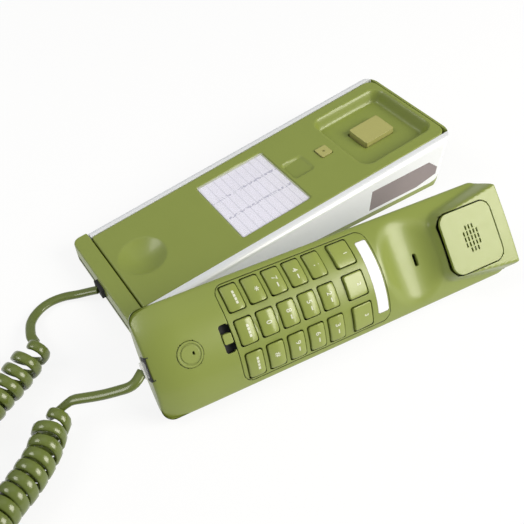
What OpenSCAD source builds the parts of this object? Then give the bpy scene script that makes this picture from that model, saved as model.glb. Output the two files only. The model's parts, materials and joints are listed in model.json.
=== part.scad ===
// Slimline telephone: a wedge base with silver side trims, and a handset with
// its keypad inside, lying beside the base on a curly cord.
// The base lies along X, ear end at +X. The origin is the middle of the flat
// land on the underside, where the base meets a wall or a table.

/* [Base] */
// Overall length of the base
base_len = 226; // [200:1:270]
// Distance from the microphone end to the middle of the wall land
land_back = 115; // [105:1:125]
// Width over the side trims at the microphone end
base_w_mic = 73; // [68:0.5:86]
// Width over the side trims at the ear end
base_w_ear = 82; // [76:0.5:96]
// Height of the deck at the microphone end
deck_h_mic = 12.9; // [12.9:0.1:16]
// Height of the deck at the ear end
deck_h_ear = 37.7; // [36:0.1:44]
// Radius of the underside where it turns up at the ear end
tail_r = 14; // [10:0.5:18]
// Plan radius of the ear end corners
ear_corner_r = 11; // [8:0.5:14]
// Height of the seam over the underside
seam_h = 4.5; // [4:0.1:6]
// Wall of the casings
wall = 2.2; // [1.8:0.1:3]
// Thickness of the deck
deck_t = 2.4; // [2:0.1:3]
// Width of each silver trim, seen from above
trim_w = 5.4; // [5:0.1:7]
// Rounding of the trim's outer edge
trim_r = 3.4; // [2:0.1:4]
// Length of the full-width lip at the microphone end
lip_len = 10; // [8:0.5:14]

/* [Deck] */
// Length of the index card
card_l = 47.6; // [30:0.1:60]
// Width of the index card
card_w = 50.4; // [30:0.1:56]
// Centre of the card
card_x = -13.6; // [-20:0.1:-8]
// Rim radius of the dimple for the microphone end
dimple_r = 13.5; // [10:0.5:14]
// Depth of the dimple
dimple_d = 4.2; // [3:0.1:4.5]
// Centre of the dimple
dimple_x = -88; // [-92:0.5:-82]
// Length of the ear well
well_l = 57; // [50:1:57]
// Width of the ear well at the deck
well_w = 55; // [44:1:58]
// Depth of the ear well
well_d = 7.5; // [6:0.1:8]
// Gap between the ear well and the end of the base
well_end_gap = 4; // [3:0.1:6]
// Length of the hookswitch button
hook_l = 23; // [18:0.5:26]
// Width of the hookswitch button
hook_w = 17; // [14:0.5:20]
// Height of the hookswitch button over the well floor
hook_h = 3.6; // [2.5:0.1:4.2]
// Travel of the hookswitch button
// Side of the handset hanger tab
tab_s = 8; // [6:0.1:10]

/* [Wall fixing] */
// Distance between the two wall studs
stud_pitch = 101.6; // [80:0.1:110]
// Radius of the keyhole's round entry
keyhole_r = 4.2; // [3.5:0.1:5]
// Width of the keyhole's slot
keyhole_slot = 4.8; // [3.5:0.1:5]

/* [Handset] */
// Length of the handset
hand_len = 210; // [200:1:230]
// Width of the handset
hand_w = 55; // [52:0.5:60]
// Thickness of the handset at the keys
hand_t = 22; // [21:0.5:26]
// Crown radius of the handset's face
crown_r = 43.4; // [40:0.2:60]
// Height of the ear block over the keys
ear_h = 5; // [4:0.1:7]
// Distance from the microphone end to the middle key column
keys_back = 72; // [72:0.5:76]
// Wall of the handset shells
hand_wall = 2; // [1.6:0.1:2.4]
// Lean of the handset as it lies on its edge
hand_lean = 42.1; // [30:0.1:50]
// Turn of the handset from the base's length
hand_turn = -7; // [-9:0.1:-5]

/* [Keys] */
// Distance between key columns along the handset
key_pitch_l = 11.56; // [11:0.02:12.5]
// Distance between key rows across the handset
key_pitch_w = 16.9; // [15:0.1:17.5]
// Length of a key along the handset
key_l = 9; // [7:0.1:9.6]
// Width of a key across the handset
key_w = 13; // [10:0.1:14]
// Height of a key over the faceplate
key_h = 1.2; // [0.8:0.1:2]
// Travel of a key
key_travel = 1.2; // [0.8:0.1:1.2]

/* [Cord] */
// Width of the flat cord
// Thickness of the flat cord
cord_t = 2.8; // [2.4:0.1:3]
// Outer diameter of the curly part
coil_d = 18; // [16:0.5:18]

/* [Hidden] */

green = "olivedrab";
deep_green = "darkolivegreen";
silver = "silver";
$fn = 64;

fit_gap = 0.1;          // between pieces that sit in each other
run_gap = 0.3;          // between pieces that move past each other
eps = 0.01;

// ---- base outline -------------------------------------------------------
mic_x = -land_back;
ear_x = base_len - land_back;
deck_slope = (deck_h_ear - deck_h_mic) / base_len;
deck_tilt = atan(deck_slope);
side_taper = atan((base_w_ear - base_w_mic) / 2 / base_len);
mic_corner_r = 5;
end_band = 1.5;         // green edge left outside the seam at the ear end
seam_r = tail_r - end_band;
foot_h = 0.8;           // the feet and the land stand this far out
floor_top = foot_h + 1.8;

function deck_z(x) = deck_h_mic + deck_slope * (x - mic_x);
function half_w(x) = (base_w_mic + (base_w_ear - base_w_mic) * (x - mic_x) / base_len) / 2;

module on_deck(x, y = 0) translate([x, y, deck_z(x)]) rotate([0, -deck_tilt, 0]) children();
module along_y(w) rotate([90, 0, 0]) linear_extrude(w, center = true) children();
module along_x(l) rotate([90, 0, 90]) linear_extrude(l, center = true) children();

module rounded_rect(l, w, r) {
    square([l - 2 * r, w], center = true);
    square([l, w - 2 * r], center = true);
    for (sx = [-1, 1], sy = [-1, 1])
        translate([sx * (l / 2 - r), sy * (w / 2 - r)]) circle(r);
}

module slab(l, w, r, h) linear_extrude(h) rounded_rect(l, w, r);

// The waste outside a rounded corner that points to +X +Y
module corner_waste(r, g) difference() {
    square(r + 1);
    circle(r - g);
}

// Side view, g inside the outer surface
module base_side(g) difference() {
    x0 = mic_x + g;
    x1 = ear_x - g;
    polygon([[x0, g], [x1, g], [x1, deck_z(x1) - g], [x0, deck_z(x0) - g]]);
    translate([ear_x - tail_r, tail_r]) rotate(-90) corner_waste(tail_r, g);
}

// Everything above the seam, seen from the side
module above_seam(g = 0) difference() {
    translate([mic_x - 1, seam_h + g]) square([base_len + 1 - end_band - g, 2 * deck_h_ear]);
    translate([ear_x - end_band - seam_r, seam_h + seam_r]) rotate(-90) corner_waste(seam_r, g);
}

// Plan view, inset by g, with the rounded ends
module base_plan(g) difference() {
    w0 = base_w_mic / 2;
    w1 = base_w_ear / 2;
    polygon([[mic_x + g, g - w0], [ear_x - g, g - w1], [ear_x - g, w1 - g], [mic_x + g, w0 - g]]);
    for (s = [-1, 1]) {
        translate([ear_x - ear_corner_r, s * (w1 - ear_corner_r)])
            rotate(s > 0 ? 0 : -90) corner_waste(ear_corner_r, min(g, ear_corner_r - 1));
        translate([mic_x + mic_corner_r, s * (w0 - mic_corner_r)])
            rotate(s > 0 ? 90 : 180) corner_waste(mic_corner_r, min(g, mic_corner_r - 1));
    }
}

// Plan of the green deck between the trims
module deck_plan(g) polygon([
    [mic_x + g, -half_w(mic_x) + trim_w + g], [ear_x - end_band - g, -half_w(ear_x) + trim_w + g],
    [ear_x - end_band - g, half_w(ear_x) - trim_w - g], [mic_x + g, half_w(mic_x) - trim_w - g]]);

// ---- places on and in the base -----------------------------------------
well_x = ear_x - well_end_gap - well_l / 2;
well_draft = 5;
hook_x = well_x + 0.5;
tab_x = well_x - well_l / 2 - 10;
notch_l = 14;
notch_x = card_x + card_l / 2 + notch_l / 2 + 3;
card_pocket_d = 1.6;
card_gap = 0.4;
cover_t = 0.9;
card_t = 0.4;
groove_w = 0.9;

keyhole_x = [-stud_pitch / 2, stud_pitch / 2];
keyhole_slot_l = 9;
land_l = stud_pitch + 34;
land_w = 34;

board_l = 76;
board_w = 42;
board_t = 1.6;
board_z = 7.6;
post_r = 2.2;
post_in = 5;

module_l = 18;
module_w = 12;
module_h = 8;
spring_r = 4;

jack_x = 26;
jack_w = 14;
jack_h = 12;
jack_nose_z = seam_h + 0.6;
socket_w = 10;
socket_h = 7;
socket_d = 12;

boss_r = 3.2;
screw_r = 1.4;
screw_head_r = 2.8;
screw_spots = [[mic_x + 14, 24], [mic_x + 14, -24], [38, 26], [38, -26]];
foot_spots = [[mic_x + 28, 26], [mic_x + 28, -26], [78, 30], [78, -30]];
foot_r = 4.5;
foot_sink = 0.6;

exit_z = 6.2;
bushing_w = 9;
bushing_h = 6.4;
bushing_out = 2;

lens_x0 = 46;
lens_x1 = 101;
lens_z0 = 6.8;
lens_top0 = 22.7;
lens_top1 = 24;
trim_wall = 1.8;

lamp_x = 70;
lamp_z = 12;
led_s = 5;

ringer_x = -40;
ringer_z = 11.5;

// The slot for the side lamp, seen from the side, shrunk by g
module lens_side(g) polygon([
    [lens_x0 + g, lens_z0 + g], [lens_x1 - 16, lens_z0 + g], [lens_x1 - g, lens_z0 + 4 + g],
    [lens_x1 - g, 16.5 - g], [lens_x1 - 9, lens_top1 - g], [lens_x0 + g, lens_top0 - g]]);

module base_bottom_shell() color(green) difference() {
    union() {
        difference() {
            intersection() {
                linear_extrude(deck_h_ear) base_plan(0);
                along_y(base_w_ear) base_side(0);
                translate([mic_x - 1, -base_w_ear, foot_h]) cube([base_len + 2, 2 * base_w_ear, 60]);
            }
            along_y(base_w_ear + 2) above_seam();
            intersection() {
                translate([0, 0, floor_top]) linear_extrude(deck_h_ear) base_plan(wall);
                along_y(base_w_ear) base_side(wall);
            }
        }
        // the wall land
        linear_extrude(floor_top) rounded_rect(land_l, land_w, 6);
        // posts for the circuit board
        for (sx = [-1, 1], sy = [-1, 1])
            translate([sx * (board_l / 2 - post_in), sy * (board_w / 2 - post_in), foot_h])
                cylinder(h = board_z - foot_h, r = post_r);
    }
    for (x = keyhole_x) translate([x, 0, -1]) {
        cylinder(h = floor_top + 2, r = keyhole_r);
        translate([0, -keyhole_slot / 2, 0]) cube([keyhole_slot_l, keyhole_slot, floor_top + 2]);
        translate([keyhole_slot_l, 0, 0]) cylinder(h = floor_top + 2, r = keyhole_slot / 2);
    }
    for (p = screw_spots) translate([p[0], p[1], -1]) {
        cylinder(h = floor_top + 2, r = screw_r + 0.2);
        cylinder(h = foot_h + 1 + 0.9, r = screw_head_r + 0.2);
    }
    for (p = foot_spots) translate([p[0], p[1], -1]) cylinder(h = 1 + foot_h + foot_sink, r = foot_r);
    cord_bushing_block(fit_gap);
}

module base_top_shell() color(green) difference() {
    union() {
        difference() {
            intersection() {
                linear_extrude(deck_h_ear + 1) {
                    deck_plan(0);
                    intersection() {
                        base_plan(0);
                        translate([mic_x - 1, -base_w_ear]) square([lip_len + 1, 2 * base_w_ear]);
                    }
                }
                along_y(base_w_ear) intersection() {
                    base_side(0);
                    above_seam();
                }
            }
            intersection() {
                linear_extrude(deck_h_ear + 1) deck_plan(wall);
                along_y(base_w_ear) deck_cavity();
            }
        }
        intersection() {
            union() {
                on_deck(well_x) translate([0, 0, -well_d - wall])
                    slab(well_l + 2 * wall, well_w + 2, 8, well_d + wall);
                on_deck(dimple_x) translate([0, 0, dimple_ball - dimple_d])
                    sphere(dimple_ball + wall);
                on_deck(notch_x) translate([0, 0, -deck_t - 2]) slab(notch_l + 4, notch_l + 4, 1, deck_t + 2);
                on_deck(tab_x) translate([0, 0, -deck_t - 4]) slab(tab_s + 4, tab_s + 4, 1, deck_t + 4);
                on_deck(card_x) translate([0, 0, -deck_t - 1]) slab(card_l + 6, card_w + 4, 2, deck_t + 1);
                for (p = screw_spots) translate([p[0], p[1], floor_top]) cylinder(h = 60, r = boss_r);
            }
            linear_extrude(deck_h_ear + 1) deck_plan(wall / 2);
            along_y(base_w_ear) difference() {
                base_side(0);
                translate([mic_x - 1, -1]) square([base_len + 2, floor_top + 1]);
            }
        }
    }
    well_cut();
    on_deck(dimple_x) translate([0, 0, dimple_ball - dimple_d]) sphere(dimple_ball);
    on_deck(card_x) translate([0, 0, -card_pocket_d])
        slab(card_l + 2 * card_gap, card_w + 2 * card_gap, 1, card_pocket_d + 1);
    notch_cut();
    on_deck(tab_x) translate([0, 0, -deck_t - 3]) slab(tab_s + 2 * fit_gap, tab_s + 2 * fit_gap, 0.8, 20);
    on_deck(hook_x) translate([0, 0, -20])
        slab(hook_l + 2 * run_gap, hook_w + 2 * run_gap, 1.5, 30);
    on_deck(mic_x + lip_len) cube([groove_w, base_w_ear, 1.6], center = true);
    for (p = screw_spots) translate([p[0], p[1], 0]) cylinder(h = deck_z(p[0]) - deck_t - 1, r = screw_r - 0.2);
    line_jack_nose(run_gap);
    ringer_window(0.6);
    lamp_passage();
    cord_bushing_block(fit_gap);
}

// Hollow of the top shell, seen from the side
module deck_cavity() polygon([
    [mic_x + wall, -1], [ear_x - end_band - wall, -1],
    [ear_x - end_band - wall, deck_z(ear_x - wall) - deck_t], [mic_x + wall, deck_z(mic_x + wall) - deck_t]]);

dimple_ball = (dimple_r * dimple_r + dimple_d * dimple_d) / (2 * dimple_d);

// The well has sloping long sides and rounded corners
module well_cut() on_deck(well_x) intersection() {
    along_x(well_l) polygon([
        [-well_w / 2 + well_draft, -well_d], [well_w / 2 - well_draft, -well_d],
        [well_w / 2 + well_draft, well_d], [-well_w / 2 - well_draft, well_d]]);
    translate([0, 0, -well_d - 1]) slab(well_l, well_w + 20, 7, 2 * well_d);
}

// Finger notch: deep beside the card, running out away from it
module notch_cut() on_deck(notch_x) along_y(notch_l)
    polygon([[-notch_l / 2, -3], [notch_l / 2, -0.6], [notch_l / 2, 2], [-notch_l / 2, 2]]);

// Angle strip over one long edge: s is 1 for the far side, -1 for the near one
module trim_strip(s, depth) intersection() {
    translate([mic_x, s * base_w_mic / 2, deck_h_mic])
        rotate([0, -deck_tilt, 0]) rotate([0, 0, s * side_taper])
            translate([base_len / 2, 0, 0]) along_x(base_len + 20) scale([s, 1]) difference() {
                translate([-depth, -2 * deck_h_ear]) square([depth, 2 * deck_h_ear]);
                translate([-trim_r, -trim_r]) corner_waste(trim_r, 0);
            }
    linear_extrude(2 * deck_h_ear) base_plan(0);
    along_y(2 * base_w_ear) above_seam();
    translate([mic_x + lip_len + fit_gap, -base_w_ear, 0])
        cube([base_len - lip_len - end_band - fit_gap, 2 * base_w_ear, 2 * deck_h_ear]);
}

module trim(s) color(silver) difference() {
    trim_strip(s, trim_w - fit_gap);
    intersection() {
        translate([0, 0, -trim_wall]) trim_hollow(s);
        along_y(2 * base_w_ear) difference() {
            translate([mic_x + lip_len + wall, 0]) square([base_len - lip_len - end_band - 2 * wall, 60]);
        }
    }
}

// Space behind a trim, between its side wall and the green skirt
module trim_hollow(s) intersection() {
    translate([mic_x, s * (base_w_mic / 2 - trim_wall), deck_h_mic])
        rotate([0, -deck_tilt, 0]) rotate([0, 0, s * side_taper])
            translate([base_len / 2, 0, 0]) along_x(base_len + 20) scale([s, 1])
                translate([-trim_w, -2 * deck_h_ear]) square([trim_w, 2 * deck_h_ear]);
    linear_extrude(2 * deck_h_ear) base_plan(trim_wall);
}

module side_trim_near() difference() {
    trim(-1);
    color(silver) translate([0, -base_w_ear / 2, 0]) along_y(20) lens_side(0);
}

module side_trim_far() difference() {
    trim(1);
    color(silver) {
        line_jack_nose(run_gap);
        ringer_window(0);
    }
}

module ring_lamp_lens() color("rosybrown") intersection() {
    translate([0, -base_w_ear / 2, 0]) along_y(20) lens_side(fit_gap);
    trim_strip(-1, trim_wall + 0.8);
}

// Hole in the skirt that lets the lamp's light through
module lamp_passage() translate([lamp_x, trim_w - half_w(lamp_x), lamp_z])
    cube([led_s + 1, 12, led_s + 1], center = true);

module ring_lamp_led() color("darkred") translate([lamp_x, trim_w - half_w(lamp_x), lamp_z]) {
    translate([-led_s / 2, -2.5, -led_s / 2]) cube([led_s, wall + 3.5, led_s]);
    translate([-led_s / 2 - 1.5, wall + run_gap, -led_s / 2 - 1.5]) cube([led_s + 3, 2, led_s + 3]);
}

module base_circuit_board() color("darkgreen") difference() {
    translate([-board_l / 2, -board_w / 2, board_z]) cube([board_l, board_w, board_t]);
    for (sx = [-1, 1], sy = [-1, 1])
        translate([sx * (board_l / 2 - post_in), sy * (board_w / 2 - post_in), 0])
            cylinder(h = 20, r = 1.2);
}

module hook_switch_module() color("dimgray")
    translate([hook_x - module_l / 2, -module_w / 2, floor_top]) cube([module_l, module_w, module_h]);

// The button slides square to the deck through the well floor
hook_floor = well_d + wall;
flange_t = 1.5;
module hookswitch_plunger() color(green) on_deck(hook_x) {
    translate([0, 0, -hook_floor - run_gap - eps])
        slab(hook_l, hook_w, 1.2, hook_floor + run_gap - well_d + hook_h + eps);
    translate([0, 0, -hook_floor - run_gap - flange_t])
        slab(hook_l + 4, hook_w + 4, 1.5, flange_t);
}

spring_base = floor_top + module_h;
spring_top = deck_z(hook_x) - (hook_floor + flange_t + run_gap) - 0.9;
module hookswitch_spring() color("silver") translate([hook_x, 0, spring_base]) {
    turns = 5;
    h = (spring_top - spring_base) / turns;
    for (i = [0:turns - 1]) translate([0, 0, i * h]) difference() {
        cylinder(h = h, r = spring_r - (i % 2) * 0.5);
        translate([0, 0, -1]) cylinder(h = h + 2, r = spring_r - 1.2);
    }
}

module ringer_sounder() color("black") translate([mic_x + 44, 17, floor_top]) difference() {
    cylinder(h = 4.5, r = 9);
    translate([0, 0, 3.5]) cylinder(h = 2, r = 1.5);
}

// Slide switch for the ringer, behind the far trim
module ringer_window(g) translate([ringer_x, half_w(ringer_x) - 5, ringer_z])
    cube([10 + 2 * g, 20, 4.4 + 2 * g], center = true);

module ringer_switch_body() color("black") {
    y1 = half_w(ringer_x) - trim_w;
    translate([ringer_x - 7, y1 - wall - 5 - run_gap, ringer_z - 4.5]) cube([14, 5, 9]);
}

ringer_travel = 2;
module ringer_switch_knob() color("black") {
    y1 = half_w(ringer_x);
    translate([ringer_x - 2.6 - ringer_travel, y1 - trim_w - wall, ringer_z - 1.9])
        cube([5.2, trim_w + wall + 0.4, 3.8]);
}

module index_card() color("white") on_deck(card_x)
    translate([0, 0, -card_pocket_d]) slab(card_l - 1, card_w - 1, 0.5, card_t);

module card_cover() color("white", 0.4) on_deck(card_x)
    translate([0, 0, -card_pocket_d + card_t]) slab(card_l, card_w, 0.8, cover_t);

module handset_hanger() color(green) on_deck(tab_x) difference() {
    translate([0, 0, -deck_t - 3]) slab(tab_s, tab_s, 0.7, deck_t + 3 + 0.8);
    translate([0, 0, 0.2]) cylinder(h = 2, r = 0.8);
}

module ballast_plate() color("gray") translate([0, 0, floor_top])
    slab(board_l - 2 * post_in - 3 * post_r, board_w - 2 * post_in - 3 * post_r, 2, 3);

jack_y = half_w(jack_x) - 0.4;
module line_jack_nose(g) translate([jack_x - jack_w / 2 - g, jack_y - 12, jack_nose_z - g])
    cube([jack_w + 2 * g, 14, jack_h + 2 * g]);

module line_jack() color("black") difference() {
    union() {
        intersection() {
            line_jack_nose(0);
            cube([200, 2 * jack_y, 100], center = true);
        }
        translate([jack_x - jack_w / 2, board_w / 2 + fit_gap, floor_top])
            cube([jack_w, jack_y - 10 - board_w / 2, jack_h + jack_nose_z - floor_top]);
    }
    translate([jack_x - socket_w / 2, jack_y - socket_d, jack_nose_z + 2.2])
        cube([socket_w, socket_d + 1, socket_h]);
    translate([jack_x - 2, jack_y - socket_d, jack_nose_z + 1]) cube([4, socket_d + 1, 3]);
}

module cord_bushing_block(g) translate([mic_x - bushing_out, -bushing_w / 2 - g, exit_z - bushing_h / 2 - g])
    cube([bushing_out + 3 * wall, bushing_w + 2 * g, bushing_h + 2 * g]);

module cord_bushing() color(deep_green) {
    cord_bushing_block(0);
    translate([mic_x + wall + 0.3, -bushing_w / 2 - 2, exit_z - bushing_h / 2])
        cube([2, bushing_w + 4, bushing_h]);
}

module base_screws() color("gainsboro") for (p = screw_spots) translate([p[0], p[1], foot_h]) {
    cylinder(h = 0.9, r = screw_head_r);
    cylinder(h = 8, r = screw_r - 0.2);
}

module rubber_feet() color("dimgray") for (p = foot_spots)
    translate([p[0], p[1], 0]) cylinder(h = foot_h + foot_sink, r = foot_r - fit_gap);

// ---- handset ------------------------------------------------------------
// Own frame: x along the handset from the middle key column towards the ear,
// y across, z out of the face with 0 on top of the middle row's faceplate.
hand_pos = [-52.6, -87.3, 29.6];
hand_pitch = 1.3;
hx0 = -keys_back;
hx1 = hand_len - keys_back;
edge_drop = crown_r - sqrt(crown_r * crown_r - hand_w * hand_w / 4);
seam_z = -edge_drop - 1.4;
back_drop = hand_t + seam_z + 0.4;   // rise of the back from its middle to its edges
back_r = (hand_w * hand_w / 4 + back_drop * back_drop) / (2 * back_drop);
saddle_x = 76;
saddle_half = 17;
saddle_d = 6.5;
saddle_r = (saddle_half * saddle_half + saddle_d * saddle_d) / (2 * saddle_d);
block_x0 = 92;
block_w = 47;

module in_hand() translate(hand_pos) rotate([hand_lean, hand_pitch, hand_turn]) children();

// Side view of the handset's body, g inside its surface
module hand_side(g) difference() {
    polygon([[hx0 + g, -hand_t + g], [hx1 - 8, -hand_t + g], [hx1 - g, -hand_t + 6 + g],
        [hx1 - g, -g], [hx0 + 24, -g], [hx0 + 6, -1.6 - g], [hx0 + g, -5 - g]]);
    translate([saddle_x, saddle_r - saddle_d]) circle(saddle_r + g);
}

// Section of the handset's body
module hand_section(g) intersection() {
    translate([0, -crown_r]) circle(crown_r - g, $fn = 128);
    translate([0, back_r - hand_t]) circle(back_r - g, $fn = 128);
    square([hand_w + 1 - 2 * g, 4 * hand_t], center = true);
}

module hand_plan(g) translate([(hx0 + hx1) / 2, 0]) rounded_rect(hand_len - 2 * g, hand_w - 2 * g, 6);

module hand_body(g) intersection() {
    along_y(hand_w + 2) hand_side(g);
    translate([(hx0 + hx1) / 2, 0, 0]) along_x(hand_len + 2) hand_section(g);
    translate([0, 0, -2 * hand_t]) linear_extrude(3 * hand_t) hand_plan(g);
}

// Raised rounded block that carries the earpiece
module ear_block(g) translate([(block_x0 + hx1) / 2, 0, 0])
    translate([0, 0, seam_z]) slab(hx1 - block_x0 - 2 * g, block_w - 2 * g, 8 - g, ear_h - seam_z - g);

module hand_outer() {
    hand_body(0);
    ear_block(0);
}

module hand_inner() {
    hand_body(hand_wall);
    ear_block(hand_wall);
}

function crown_drop(y) = crown_r - sqrt(crown_r * crown_r - y * y);

// key places: column 0 is the one nearest the microphone
function key_x(c) = (c - 2) * key_pitch_l;
function key_y(r) = (1 - r) * key_pitch_w;
wide_key_x = key_x(4) + 16;
wide_key_l = 12;
guide_z = -8.9;
key_gap = run_gap;
flange_z = guide_z - run_gap;
mat_top = flange_z - 0.8 - key_travel - 0.2;
mat_t = 1;
mat_x0 = key_x(0) - key_l / 2 - 1;
mat_x1 = wide_key_x + wide_key_l / 2 + 1;
kboard_t = 1.6;
plate_x0 = hx0 + 42;
plate_x1 = 56;
plate_w = 49;
plate_t = 1.2;
strip_x = 52;
strip_w = 6.5;
strip_l = 39;
strip_t = 0.6;
slide_x = -33;
kboard_x0 = slide_x - 3.5;
kboard_x1 = wide_key_x + 14;
slide_l = 14;
slide_w = 5;
mic_hole_x = -52;
cap_r = 6.2;
hang_slot_x = saddle_x + 5;
ear_x0 = 112;
ear_plate_l = 34;
ear_plate_w = 34;
ear_plate_t = 1.6;
jack_z = -9;
plug_w = 7.6;
plug_h = 6.3;
jack_l = 14;

module key_place(c, r) translate([c < 5 ? key_x(c) : wide_key_x, key_y(r), 0]) children();

module key_hole(c) translate([0, 0, -hand_t]) slab((c < 5 ? key_l : wide_key_l) + 2 * key_gap,
    key_w + 2 * key_gap, 1.2, 3 * hand_t);

module all_key_holes() for (c = [0:5], r = [0:2]) key_place(c, r) key_hole(c);

// Skin of the crowned face from its surface down to a depth
module crown_skin(depth) translate([0, 0, -crown_r]) rotate([0, 90, 0]) difference() {
    cylinder(h = 2 * hand_len, r = crown_r, center = true, $fn = 128);
    cylinder(h = 3 * hand_len, r = crown_r - depth, center = true, $fn = 128);
}

module plate_region(g, depth) intersection() {
    translate([(plate_x0 + plate_x1) / 2, 0, -hand_t])
        slab(plate_x1 - plate_x0 - 2 * g, plate_w - 2 * g, 5, 3 * hand_t);
    crown_skin(depth);
}

module slide_slot(g) translate([slide_x, 0, -hand_t]) slab(slide_w - 2 * g, slide_l - 2 * g, 1, 3 * hand_t);

module jack_box(g) translate([hx0 - 1, -plug_w / 2 - 2 - g, jack_z - plug_h / 2 - 1.8 - g])
    cube([jack_l + 1 + g, plug_w + 4 + 2 * g, plug_h + 3.6 + 2 * g]);

module strip_region(g, depth) intersection() {
    translate([strip_x, 0, -hand_t]) slab(strip_w - 2 * g, strip_l - 2 * g, 1, 3 * hand_t);
    crown_skin(depth);
}

module handset_face_shell() color(green) in_hand() difference() {
    intersection() {
        union() {
            difference() {
                hand_outer();
                hand_inner();
            }
            // guide grid that the keys slide in
            intersection() {
                hand_body(hand_wall / 2);
                translate([(mat_x0 + mat_x1) / 2, 0, guide_z])
                    slab(mat_x1 - mat_x0, 2 * key_pitch_w + key_w + 3, 2, hand_t);
            }
            intersection() {
                hand_body(hand_wall / 2);
                for (p = hand_screw_spots) translate([p[0], p[1], seam_z]) cylinder(h = hand_t, r = boss_r);
            }
        }
        translate([0, 0, seam_z + 100]) cube([600, 200, 200], center = true);
    }
    plate_region(-fit_gap, plate_t + eps);
    all_key_holes();
    slide_slot(0);
    translate([mic_hole_x, 0, -3.2]) cylinder(h = 10, r = cap_r + fit_gap);
    translate([mic_hole_x, 0, -12]) cylinder(h = 20, r = 3);
    translate([hang_slot_x, -1, -12]) cube([2.2, 7, 20], center = true);
    translate([ear_x0, 0, ear_h - ear_plate_t])
        slab(ear_plate_l + 2 * fit_gap, ear_plate_w + 2 * fit_gap, 6, 5);
    translate([ear_x0, 0, -5]) cylinder(h = 12, r = 11);
    for (p = hand_screw_spots) translate([p[0], p[1], seam_z - 1]) cylinder(h = 6, r = screw_r - 0.2);
    jack_box(fit_gap);
}

hand_screw_spots = [[slide_x - 8.5, 0], [saddle_x + 12, 0]];

module handset_back_shell() color(green) in_hand() difference() {
    intersection() {
        union() {
            difference() {
                hand_body(0);
                hand_body(hand_wall);
            }
            for (p = hand_screw_spots) translate([p[0], p[1], -hand_t + 1])
                cylinder(h = hand_t + seam_z - 1, r = boss_r + 1.2);
        }
        translate([0, 0, seam_z - 100]) cube([600, 200, 200], center = true);
    }
    for (p = hand_screw_spots) translate([p[0], p[1], -hand_t - 1]) {
        cylinder(h = 40, r = screw_r + 0.2);
        cylinder(h = 5, r = screw_head_r + 0.2);
    }
    jack_box(fit_gap);
}

module keypad_faceplate() color(green) in_hand() difference() {
    plate_region(0, plate_t);
    all_key_holes();
    strip_region(-fit_gap, strip_t + eps);
}

module earpiece_plate() color(green) in_hand() difference() {
    translate([ear_x0, 0, ear_h - ear_plate_t]) slab(ear_plate_l, ear_plate_w, 6, ear_plate_t);
    for (i = [-2:2], j = [-2:2]) if (abs(i) + abs(j) < 4)
        translate([ear_x0 + i * 2.2, j * 3.1, ear_h]) cube([0.9, 2.3, 6], center = true);
}

module receiver_capsule() color("black") in_hand() translate([ear_x0, 0, -8.6]) {
    cylinder(h = 8, r = 14);
    translate([0, 0, -2]) cylinder(h = 2.2, r = 8);
}

module receiver_gasket() color("dimgray") in_hand() translate([ear_x0, 0, -0.6]) difference() {
    cylinder(h = ear_h - hand_wall + 0.6 - fit_gap, r = 14);
    translate([0, 0, -1]) cylinder(h = 10, r = 11.5);
}

module microphone_cap() color(green) in_hand() translate([mic_hole_x, 0, 0]) difference() {
    translate([0, 0, -3.2]) cylinder(h = 3.2, r = cap_r);
    translate([0, 0, -0.3]) difference() {
        cylinder(h = 1, r = cap_r - 1);
        translate([0, 0, -1]) cylinder(h = 3, r = cap_r - 1.8);
    }
    translate([1.6, 0, 0]) cube([1, 1.6, 8], center = true);
}

module microphone_capsule() color("silver") in_hand() translate([mic_hole_x, 0, -6.6]) cylinder(h = 3.3, r = 2.9);

module keypad_mat() color("lightgray") in_hand()
    translate([(mat_x0 + mat_x1) / 2, 0, mat_top - mat_t])
        slab(mat_x1 - mat_x0, 2 * key_pitch_w + key_w - 4, 2, mat_t);

module keypad_circuit_board() color("darkgreen") in_hand()
    translate([(kboard_x0 + kboard_x1) / 2, 0, mat_top - mat_t - kboard_t])
        slab(kboard_x1 - kboard_x0, 2 * key_pitch_w + key_w - 8, 1, kboard_t);

module volume_switch_body() color("black") in_hand()
    translate([slide_x, 0, mat_top - mat_t]) slab(8, slide_l + 2, 1, -4.2 - mat_top + mat_t);

module volume_knob() color(green) in_hand()
    translate([slide_x, 0, -3.9]) slab(slide_w - 2 * run_gap, 5, 0.8, 4.6);

module name_strip() color("white") in_hand() strip_region(0, strip_t);

module handset_jack() color("black") in_hand() difference() {
    intersection() {
        jack_box(0);
        hand_body(0);
    }
    translate([hx0 - 1, -plug_w / 2 - 0.2, jack_z - plug_h / 2 - 0.2])
        cube([jack_l - 1.4 + 1, plug_w + 0.4, plug_h + 0.4]);
}

module handset_weight() color("gray") in_hand() translate([62, 0, -hand_t + hand_wall]) intersection() {
    slab(36, 14, 1, 5);
    translate([-62, 0, hand_t - hand_wall]) hand_body(hand_wall + fit_gap);
}

module handset_screws() color("gainsboro") in_hand() for (p = hand_screw_spots)
    translate([p[0], p[1], -hand_t + 2]) {
        cylinder(h = 2, r = screw_head_r);
        cylinder(h = 13, r = screw_r - 0.2);
    }

// One key: a stem in the guide grid with a flange under it, and a crowned top
module key(c, r) color(green) in_hand() key_place(c, r) {
    l = c < 5 ? key_l : wide_key_l;
    intersection() {
        translate([0, 0, flange_z - 0.4]) slab(l, key_w, 1, 3 * hand_t);
        translate([0, -key_y(r), -crown_r]) rotate([0, 90, 0])
            cylinder(h = 60, r = crown_r + (c < 5 ? key_h : key_h / 2), center = true, $fn = 128);
    }
    translate([0, 0, flange_z - 0.8]) slab(l + 1.4, key_w - 2, 1, 0.8);
}

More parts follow.
